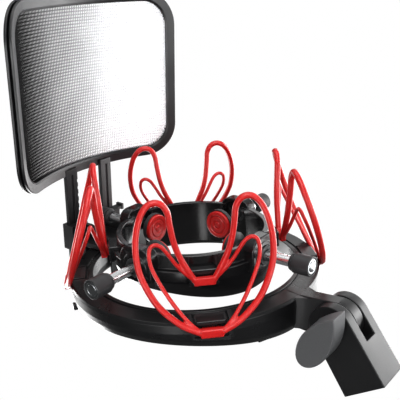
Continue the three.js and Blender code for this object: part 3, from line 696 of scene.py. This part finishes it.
def frame_outline(inset):
    r = CORNER - inset
    u, low, high = HALF_W - inset - r, LOW + inset + r, HIGH - inset - r
    corners = [(u, high, 0), (-u, high, 90), (-u, low, 180), (u, low, 270)]
    points = []
    for k, (cu, cv, start) in enumerate(corners):
        for s in range(17):
            a = math.radians(start + 90 * s / 16)
            points.append((cu + r * math.cos(a), cv + r * math.sin(a)))
        nu, nv, following = corners[(k + 1) % 4]
        begin = points[-1]
        finish = (nu + r * math.cos(math.radians(following)), nv + r * math.sin(math.radians(following)))
        pieces = 24 if k % 2 == 0 else 12
        for s in range(1, pieces):
            points.append(tuple(begin[n] + (finish[n] - begin[n]) * s / pieces for n in (0, 1)))
    return points


def frame_band(section):
    """Band round the panel; section is a closed outline of (inset, depth) points."""
    outlines = {inset: frame_outline(inset) for inset, _ in section}
    count = len(outlines[section[0][0]])
    rings = [[on_panel(*outlines[inset][i], depth) for inset, depth in section] for i in range(count)]
    return skin(rings, loop=True)


ROW_PITCH, ROW_R = 1.9, 0.42
COLUMN_PITCH, COLUMN_R = 1.5, 0.34


def wire(route, outward, radius):
    """Thin six-sided wire along a route of points; outward gives the panel's normal at each."""
    line, out = np.array(route), np.array(outward)
    tangent = np.gradient(line, axis=0)
    tangent /= np.linalg.norm(tangent, axis=1)[:, None]
    side = np.cross(tangent, out)
    angles = np.linspace(0, 2 * math.pi, 6, endpoint=False)
    return skin([[tuple(p + radius * (math.cos(a) * n + math.sin(a) * w)) for a in angles]
                 for p, n, w in zip(line, out, side)])


def wire_gauze():
    """Wires laid across and along the bent panel, held between the two layers of the frame."""
    inset = BAND - 2.4
    half, r = HALF_W - inset, CORNER - inset
    low, high = LOW + inset, HIGH - inset
    depth = LAYER + 0.6

    def reach(offset, limit):
        past = max(0.0, abs(offset) - (limit - r))
        return r - math.sqrt(max(0.0, r * r - past * past))

    wires = []
    middle, tall = (low + high) / 2, (high - low) / 2
    for v in np.arange(low + 1, high - 1, ROW_PITCH):
        end = half - reach(v - middle, tall)
        route = [on_panel(u, v, depth - 0.2) for u in np.linspace(-end, end, 72)]
        wires.append(wire(route, [(-x / BEND, (BEND - y) / BEND, 0) for x, y, _ in route], ROW_R))
    for u in np.arange(-half + 1, half - 1, COLUMN_PITCH):
        drop = reach(u, half)
        route = [on_panel(u, v, depth + 0.2) for v in (low + drop, high - drop)]
        wires.append(wire(route, [(-x / BEND, (BEND - y) / BEND, 0) for x, y, _ in route], COLUMN_R))
    verts, faces = [], []
    for points, sides in wires:
        faces += [tuple(i + len(verts) for i in f) for f in sides]
        verts += points
    return verts, faces


def make_pop_filter():
    rear = fillet([
        (0, 0, 0.5), (0, LAYER, 0.35), (BAND, LAYER, 0.2), (BAND, 0.3, 0.4), (BAND - 1.2, 0, 0.3)], 3)
    piece("frame_back_band", frame_band(rear), FILTER, "frame", "pop_filter",
          ["frame_rear"])
    d0 = LAYER + WIRE + 0.6
    front = fillet([(0.1, d0, 0.35), (0.1, d0 + LAYER, 0.5), (BAND - 1.4, d0 + LAYER, 0.4),
                    (BAND, d0 + LAYER - 0.6, 0.3), (BAND, d0, 0.2)], 3)
    o = raw(frame_band(front))
    for side in (-1, 1):
        x = side * POST_X
        cut(o, brick(x - POST_HALF - POST_GAP, x + POST_HALF + POST_GAP, -6, 13, -50, 1.3))
    piece("frame_front_band", o, FILTER, "frame", "pop_filter", ["frame_front"])
    piece("wire_gauze", wire_gauze(), FILTER, "mesh", "pop_filter", ["pop_mesh"], 80)
    for side, label in ((1, "left"), (-1, "right")):
        x = side * POST_X
        y0 = POST_BACK
        o = raw(brick(x - POST_HALF, x + POST_HALF, y0, y0 + POST_THICK, -66, 1))
        for k in range(DETENTS if side > 0 else 0):
            z = 16 + DETENT_PITCH * k - PIVOT_Z
            cut(o, brick(x - POST_HALF - 0.5, x - POST_HALF + 0.5, y0 - 1, y0 + POST_THICK + 1, z, z + 2))
        cut(o, brick(x - 1.1, x + 1.1, y0 + POST_THICK - 0.7, y0 + POST_THICK + 1, -80, -3))
        soften(o, 0.35, 3)
        piece(f"post_strip_{label}", o, FILTER, "frame", "pop_filter", [f"post_{label}"])


WEB_X, WEB_HALF = 10.5, 1.5
SADDLE_GAP = 0.3
SCREW_DROP = -6


def make_bracket():
    """Saddle over the outer ring with a sleeve for each post."""
    lean = shift(0, FILTER_Y, PIVOT_Z) @ turn(-FILTER_LEAN, "X")
    top = 3.4
    o = raw(brick(-20, 20, -90, -58.4, 0.3, top))
    heel = raw(brick(-20, 20, -90, -76.9, -12, top - 0.5))
    lip = raw(brick(-15, 15, -64, -58.4, -10, top - 0.2))
    leg = raw(brick(7.6, 15, -64, -58.6, -18, -8))
    for part in (heel, lip, leg):
        weld(o, part)
    for side in (-1, 1):
        outline = [(-90, 0.5), (-62, 0.5), (-62, 4.5), (-80, 12), (-90, 12)]
        weld(o, slab(outline, side * WEB_X - WEB_HALF, side * WEB_X + WEB_HALF))
        x = side * POST_X
        sleeve = rotated(brick(x - SLEEVE_HALF, x + SLEEVE_HALF, POST_BACK - 1.8, POST_BACK + 7.6,
                               SLEEVE_LOW - PIVOT_Z, SLEEVE_TOP - PIVOT_Z), lean)
        weld(o, sleeve)
    latch_top = SLEEVE_TOP - PIVOT_Z
    for x0, x1, y0, y1, z0, z1 in ((-28, -20.5, 3.8, 8.8, latch_top - 2.4, latch_top - 0.3),
                                   (-28.5, -26.6, 3.5, 9.1, latch_top - 3, latch_top + 1)):
        weld(o, rotated(brick(x0, x1, y0, y1, z0, z1), lean))
    soften(o, 0.6, 3)
    for side in (-1, 1):
        x = side * POST_X
        cut(o, rotated(brick(x - POST_HALF - POST_GAP, x + POST_HALF + POST_GAP, POST_BACK - POST_GAP,
                             POST_BACK + POST_THICK + POST_GAP, -120, 0), lean))
    inner, outer = BORE - SADDLE_GAP, OUT + SADDLE_GAP
    room = around_x([(-40, inner), (-40, outer), (SADDLE_GAP, outer), (SADDLE_GAP, inner)], 192)
    screw_way = shift(0, 0, SCREW_DROP) @ turn(-90, "Z")
    cut(o, rotated(room, turn(-90, "Y")), rotated(rod(70, 110, 2.3), screw_way))
    piece("saddle_body", o, RING, "frame", "ring", ["pop_bracket"])
    outline = [(76.8, 0, 0), (76.8, 2, 0.3), (91, 2, 0.2), (91, 4.8, 0.3), (96, 4.8, 0.6), (96, 0, 0)]
    screw = raw(around_x(fillet(outline, 3), 56))
    cut(screw, slab(hexagon(4), 93, 99))
    place = RING @ shift(0, 0, SCREW_DROP) @ turn(-90, "Z")
    piece("saddle_screw", screw, place, "chrome", "ring", ["bracket_screw"])


make_stand_block()
make_hinge()
make_lever()
make_outer_ring()
make_lyres()
make_cradle()
for station, (row, face) in STATIONS.items():
    make_screw(station, row, face)
make_pop_filter()
make_bracket()


# ---- stage, light and camera ----------------------------------------------------------------------------
def seen_or_lit(tree, seen, lit):
    """Shader that shows seen to the camera and gives the light of lit to everything else."""
    path = tree.nodes.new("ShaderNodeLightPath")
    mix = tree.nodes.new("ShaderNodeMixShader")
    tree.links.new(path.outputs["Is Camera Ray"], mix.inputs["Fac"])
    tree.links.new(lit, mix.inputs[1])
    tree.links.new(seen, mix.inputs[2])
    return mix.outputs["Shader"]


FLOOR_Z, FLOOR_SIZE = -0.16, 12
# light from below and from above, and the height at which it starts to rise
WORLD_LOW, WORLD_HIGH, WORLD_TURN = 0.26, 1.1, 0.35


def make_stage():
    world = bpy.data.worlds.new("studio")
    bpy.context.scene.world = world
    world.use_nodes = True
    tree = world.node_tree
    out = tree.nodes["World Output"]
    seen = tree.nodes["Background"]
    seen.inputs["Color"].default_value = (1, 1, 1, 1)
    seen.inputs["Strength"].default_value = 1.0
    lit = tree.nodes.new("ShaderNodeBackground")
    way = tree.nodes.new("ShaderNodeTexCoord")
    apart = tree.nodes.new("ShaderNodeSeparateXYZ")
    tree.links.new(way.outputs["Generated"], apart.inputs["Vector"])
    dome = tree.nodes.new("ShaderNodeMapRange")
    dome.inputs["From Min"].default_value = WORLD_TURN
    dome.inputs["To Min"].default_value = WORLD_LOW
    dome.inputs["To Max"].default_value = WORLD_HIGH
    tree.links.new(apart.outputs["Z"], dome.inputs["Value"])
    tree.links.new(dome.outputs["Result"], lit.inputs["Strength"])
    tree.links.new(seen_or_lit(tree, seen.outputs[0], lit.outputs[0]), out.inputs["Surface"])
    bpy.ops.mesh.primitive_plane_add(size=FLOOR_SIZE, location=(0, 0, FLOOR_Z))
    floor = bpy.context.object
    floor.name = "floor"
    m = bpy.data.materials.new("pale_floor")
    m.use_nodes = True
    tree = m.node_tree
    shader = tree.nodes["Principled BSDF"]
    shader.inputs["Base Color"].default_value = (0.1, 0.1, 0.1, 1)
    shader.inputs["Roughness"].default_value = 0.9
    glow = tree.nodes.new("ShaderNodeEmission")
    glow.inputs["Color"].default_value = (1, 1, 1, 1)
    glow.inputs["Strength"].default_value = 1.0
    surface = seen_or_lit(tree, glow.outputs[0], shader.outputs[0])
    tree.links.new(surface, tree.nodes["Material Output"].inputs["Surface"])
    floor.data.materials.append(m)


def area(name, at, target, size, power, size_y=None):
    light = bpy.data.lights.new(name, "AREA")
    light.energy = power
    light.shape = "RECTANGLE"
    light.size, light.size_y = size, size_y or size
    o = bpy.data.objects.new(name, light)
    bpy.context.scene.collection.objects.link(o)
    o.visible_camera = False
    o.location = at
    o.rotation_euler = (Vector(target) - Vector(at)).to_track_quat("-Z", "Y").to_euler()


CENTRE = (0, -0.115, 0.06)
LIGHTS = (  # name, place, target, width, watts, height if not square
    ("top", (0.0, -0.1, 0.9), CENTRE, 0.7, 3.5),
    ("front_key", (0.55, 0.5, 0.8), CENTRE, 0.6, 7),
    ("back_wall", (-0.85, 0.1, 0.24), CENTRE, 1.1, 8, 0.5),
    ("back_low", (-0.85, -0.1, -0.07), CENTRE, 0.9, 4, 0.16),
    ("floor_panel", (-0.6, -0.1, -0.15), (-0.6, -0.1, 1), 0.5, 6.5, 1.0),
    ("far_side", (0.2, 0.95, 0.05), CENTRE, 0.7, 4.5, 0.4),
    ("far_corner", (-0.75, 0.5, 0.1), CENTRE, 0.45, 3),
    ("right_low", (0.95, 0.15, 0.02), CENTRE, 0.6, 3.5, 0.3),
    ("floor_strip", (0.5, 0.08, -0.155), (0.5025, 0.081, 1), 0.1, 0.4, 0.22),
    ("floor_left", (-0.02, -0.42, -0.15), (-0.02, -0.42, 1), 0.3, 1.7, 0.24),
    ("arm_light", (-0.74, -0.52, 0.49), CENTRE, 0.3, 0.6),
    ("left_low", (0.05, -0.95, -0.02), CENTRE, 0.5, 3.5, 0.25),
)
EYE = Vector((0.2874, 0.1229, 0.2087))
AZIMUTH, ELEVATION, ROLL, LENS = 129.19, 18.72, -3.07, 59.85


def make_camera():
    a, e, r = (math.radians(v) for v in (AZIMUTH, ELEVATION, ROLL))
    back = Vector((math.sin(a) * math.cos(e), -math.cos(a) * math.cos(e), math.sin(e)))
    right = Vector((0, 0, 1)).cross(back).normalized()
    up = back.cross(right)
    right, up = right * math.cos(r) + up * math.sin(r), up * math.cos(r) - right * math.sin(r)
    camera = bpy.data.cameras.new("camera")
    camera.lens, camera.sensor_width = LENS, 36
    camera.clip_start = 0.01
    o = bpy.data.objects.new("camera", camera)
    bpy.context.scene.collection.objects.link(o)
    turned = Matrix((right, up, back)).transposed().to_4x4()
    o.matrix_world = Matrix.Translation(EYE) @ turned
    bpy.context.scene.camera = o


make_stage()
for light in LIGHTS:
    area(*light)
make_camera()
bpy.context.scene.view_settings.view_transform = "Standard"
bpy.context.scene.view_settings.gamma = 0.82

bpy.context.view_layer.update()
